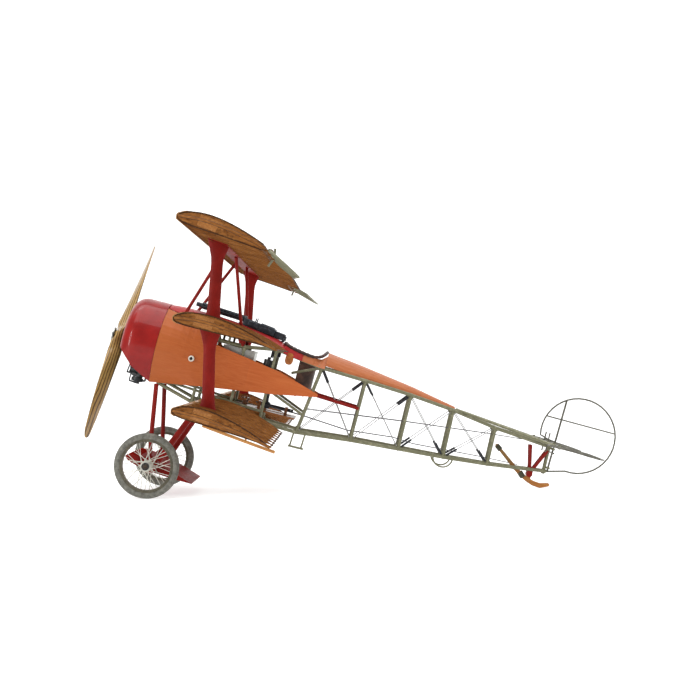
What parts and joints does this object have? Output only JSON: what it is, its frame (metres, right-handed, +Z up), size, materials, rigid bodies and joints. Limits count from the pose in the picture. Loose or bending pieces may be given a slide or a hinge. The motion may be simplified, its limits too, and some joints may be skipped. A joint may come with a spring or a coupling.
{
  "type": "triplane scale model",
  "caption": "Uncovered display model of a rotary-engined triplane, showing its tube frame, wing ribs, controls and spoked wheels, standing tail down.",
  "frame": {"origin": "on the ground plane, under the middle of the model's length and width", "axes": "+X towards the tail along the ground, +Y to starboard across the wings, +Z up; the model stands tail down on its wheels and tail skid"},
  "size_m": [0.3723, 0.4494, 0.1806],
  "materials": {
    "red_enamel": "glossy red enamel, slightly orange-peeled",
    "strut_paint": "dark red semi-gloss paint over wood and tube",
    "deck_paint": "red gloss over thin sheet",
    "orange_ply": "orange-stained plywood, satin varnish, grain lengthwise",
    "frame_steel": "olive-grey painted welded tube",
    "rib_wood": "amber-brown ply, laser-charred edges",
    "nose_ply": "thin bent ply, satin",
    "pale_wood": "light varnished wood",
    "propeller_wood": "laminated walnut and birch, glossy varnish",
    "floor_wood": "varnished thin board",
    "seat_leather": "dark brown leather over a formed shell",
    "rim_leather": "dark brown padded leather",
    "gun_metal": "blued dark metal",
    "engine_metal": "dark machined metal",
    "hub_steel": "brushed steel",
    "ammo_sheet": "pale grey sheet",
    "tank_metal": "dull soldered sheet",
    "instrument_black": "black crackle with pale dials",
    "wire_steel": "fine stranded wire",
    "sleeve_black": "black sleeves",
    "cord_cloth": "natural braided cord",
    "tyre_rubber": "dusty grey rubber",
    "spoke_steel": "bright spokes and painted rim",
    "tail_tube": "grey bent tube",
    "skid_wood": "honey-coloured varnished ash"
  },
  "bodies": {
    "airframe": {"side_frame_port": "frame_steel", "side_frame_starboard": "frame_steel", "cross_tubes": "frame_steel", "engine_mount": "frame_steel", "cowling": "red_enamel", "side_fairing_port": "orange_ply", "side_fairing_starboard": "orange_ply", "side_stringers": "strut_paint", "front_deck": "deck_paint", "turtledeck": "orange_ply", "cockpit_rim": "rim_leather", "gun_port": "gun_metal", "gun_starboard": "gun_metal", "ammo_box": "ammo_sheet", "fuel_tank": "tank_metal", "seat": "seat_leather", "instruments": "instrument_black", "floorboard": "floor_wood", "upper_wing_spar": "rib_wood", "upper_wing_ribs": "rib_wood", "upper_wing_nose": "nose_ply", "middle_wing_spar": "rib_wood", "middle_wing_ribs": "rib_wood", "middle_wing_nose": "nose_ply", "lower_wing_spar": "rib_wood", "lower_wing_ribs": "rib_wood", "lower_wing_nose": "nose_ply", "wing_tip_bows": "rib_wood", "trailing_edge_wires": "rib_wood", "interplane_strut_port": "strut_paint", "interplane_strut_starboard": "strut_paint", "cabane_struts": "strut_paint", "gear_struts_port": "strut_paint", "gear_struts_starboard": "strut_paint", "axle_wing": "strut_paint", "axle": "engine_metal", "shock_cords": "cord_cloth", "wing_skids": "pale_wood", "bracing_wires": "wire_steel", "turnbuckles": "sleeve_black", "foot_step": "frame_steel", "handling_loops": "frame_steel", "stabiliser_frame": "frame_steel", "skid_struts": "strut_paint"},
    "engine": {"propeller": "propeller_wood", "propeller_hub": "hub_steel", "crankcase": "engine_metal", "cylinders": "engine_metal"},
    "port_wheel": {"tyre_port": "tyre_rubber", "wheel_port": "spoke_steel"},
    "starboard_wheel": {"tyre_starboard": "tyre_rubber", "wheel_starboard": "spoke_steel"},
    "port_aileron": {"aileron_port": "rib_wood"},
    "starboard_aileron": {"aileron_starboard": "rib_wood"},
    "tail_elevator": {"elevator": "tail_tube"},
    "tail_rudder": {"rudder": "tail_tube"},
    "roll_tube": {"torque_tube": "gun_metal"},
    "stick": {"control_stick": "gun_metal"},
    "foot_bar": {"rudder_bar": "floor_wood"},
    "skid": {"tail_skid": "skid_wood"}
  },
  "joints": [
    {"name": "engine_spin", "type": "hinge", "parent": "airframe", "child": "engine", "pos_m": [-0.1668, 0, 0.11104], "axis": [0.9667, 0, -0.256], "continuous": true},
    {"name": "port_wheel_spin", "type": "hinge", "parent": "airframe", "child": "port_wheel", "pos_m": [-0.14341, -0.043, 0.0224], "axis": [0, 1, 0], "continuous": true},
    {"name": "starboard_wheel_spin", "type": "hinge", "parent": "airframe", "child": "starboard_wheel", "pos_m": [-0.14341, 0.043, 0.0224], "axis": [0, 1, 0], "continuous": true},
    {"name": "stick_roll", "type": "hinge", "parent": "airframe", "child": "roll_tube", "pos_m": [-0.06305, 0, 0.06143], "axis": [0.9667, 0, -0.256], "range_deg": [-12, 12]},
    {"name": "stick_pitch", "type": "hinge", "parent": "roll_tube", "child": "stick", "pos_m": [-0.06305, 0, 0.06143], "axis": [0, 1, 0], "range_deg": [-10, 10]},
    {"name": "port_aileron_turn", "type": "hinge", "parent": "airframe", "child": "port_aileron", "pos_m": [-0.04839, -0.17, 0.1536], "axis": [0, 1, 0], "range_deg": [-18, 18]},
    {"name": "starboard_aileron_turn", "type": "hinge", "parent": "airframe", "child": "starboard_aileron", "pos_m": [-0.04839, 0.17, 0.1536], "axis": [0, 1, 0], "range_deg": [-18, 18]},
    {"name": "elevator_turn", "type": "hinge", "parent": "airframe", "child": "tail_elevator", "pos_m": [0.13631, 0, 0.03296], "axis": [0, 1, 0], "range_deg": [-15, 15]},
    {"name": "foot_bar_turn", "type": "hinge", "parent": "airframe", "child": "foot_bar", "pos_m": [-0.07831, 0, 0.0663], "axis": [0.256, 0, 0.9667], "range_deg": [-20, 20]},
    {"name": "rudder_turn", "type": "hinge", "parent": "airframe", "child": "tail_rudder", "pos_m": [0.13661, 0, 0.01105], "axis": [0.2829, 0, 0.9592], "range_deg": [-24, 24]},
    {"name": "skid_rock", "type": "hinge", "parent": "airframe", "child": "skid", "pos_m": [0.12384, 0, 0.01009], "axis": [0, -1, 0], "range_deg": [0, 8], "stiffness_Nm_per_rad": 0.05, "springref_deg": -17.19}
  ],
  "couplings": [
    {"joint": "port_aileron_turn", "follows": "stick_roll", "ratio": -1.5},
    {"joint": "starboard_aileron_turn", "follows": "stick_roll", "ratio": 1.5},
    {"joint": "elevator_turn", "follows": "stick_pitch", "ratio": -1.5},
    {"joint": "rudder_turn", "follows": "foot_bar_turn", "ratio": 1.2}
  ]
}
